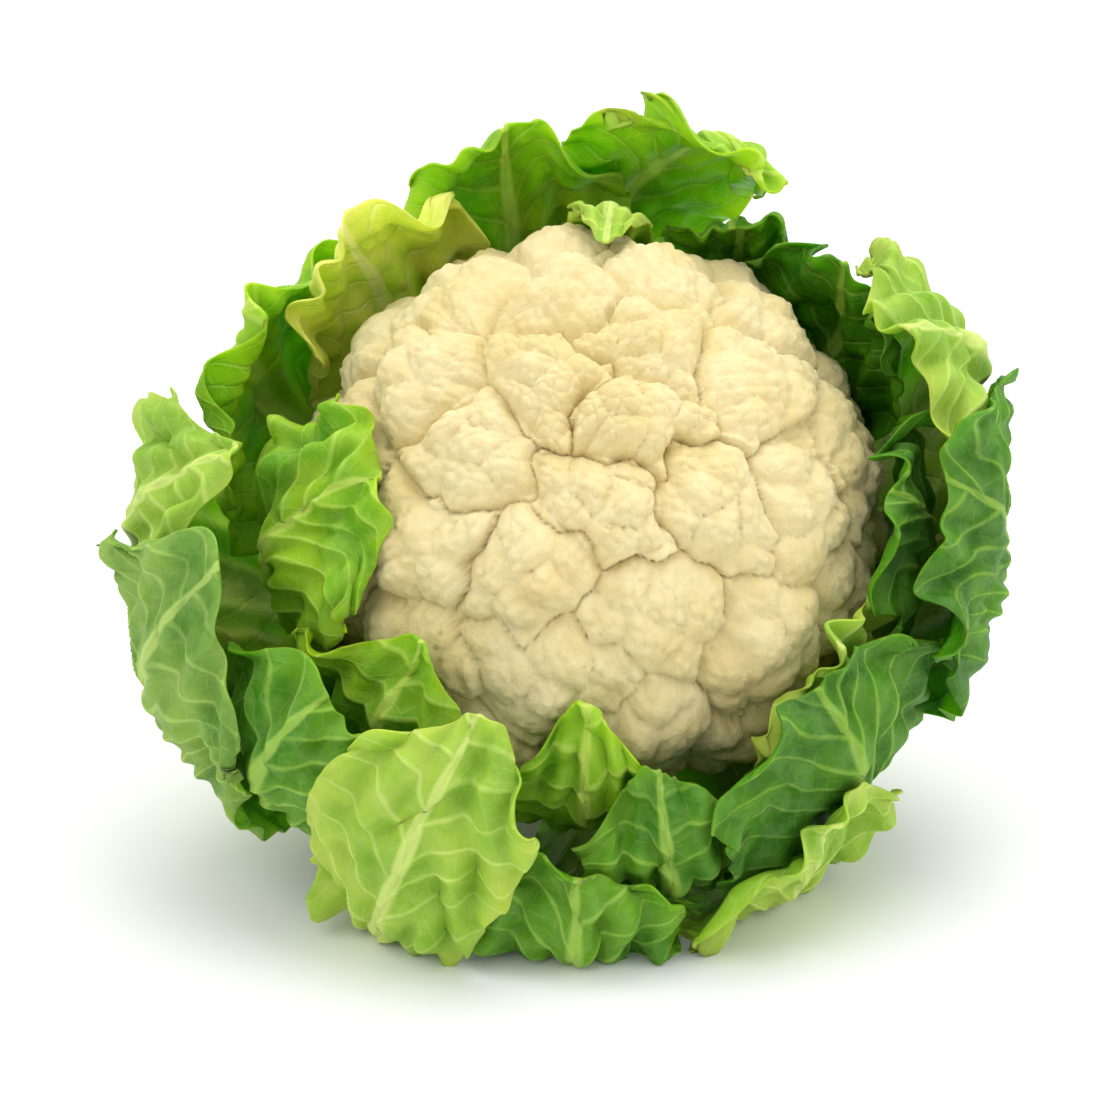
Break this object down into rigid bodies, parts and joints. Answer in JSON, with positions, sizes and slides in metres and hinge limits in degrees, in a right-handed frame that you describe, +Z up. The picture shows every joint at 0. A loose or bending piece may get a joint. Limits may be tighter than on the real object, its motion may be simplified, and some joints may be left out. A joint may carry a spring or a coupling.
{
  "type": "cauliflower",
  "caption": "Whole trimmed head of cauliflower: a cream curd of florets in a collar of green wrapper leaves, tipped over and lying on its lower leaves.",
  "frame": {"origin": "on the surface that the head lies on, under the middle of its bounding box", "axes": "+Z up from the surface, -Y towards the front that the curd faces, +X to the right of someone who faces the curd"},
  "size_m": [0.2363, 0.1884, 0.1878],
  "materials": {
    "curd": "matte, grainy cream flesh with a faint sheen",
    "stem": "smooth waxy pale green stalk with a dry cut face",
    "leaf_inner": "soft satin yellow-green leaf",
    "leaf_middle": "satin mid-green leaf with pale veins",
    "leaf_outer": "satin to waxy dark green leaf with pale raised veins"
  },
  "bodies": {
    "root": {"curd": "curd", "stem": "stem", "leaf_inner_top": "leaf_inner", "leaf_inner_upper_right": "leaf_inner", "leaf_inner_lower_right": "leaf_inner", "leaf_inner_bottom": "leaf_inner", "leaf_inner_left": "leaf_inner", "leaf_inner_top_right": "leaf_inner", "leaf_inner_right": "leaf_inner", "leaf_inner_lower_left": "leaf_inner", "leaf_inner_upper_left": "leaf_inner", "leaf_middle_bottom": "leaf_middle", "leaf_middle_upper_right": "leaf_middle", "leaf_middle_top_left": "leaf_middle", "leaf_middle_lower_left": "leaf_middle", "leaf_middle_upper_left": "leaf_middle", "leaf_middle_lower_right": "leaf_middle", "leaf_outer_top": "leaf_outer", "leaf_outer_upper_left": "leaf_outer", "leaf_outer_right": "leaf_outer", "leaf_outer_bottom": "leaf_outer", "leaf_outer_left": "leaf_outer", "leaf_outer_lower_right": "leaf_outer", "leaf_outer_bottom_left": "leaf_outer"}
  },
  "joints": []
}
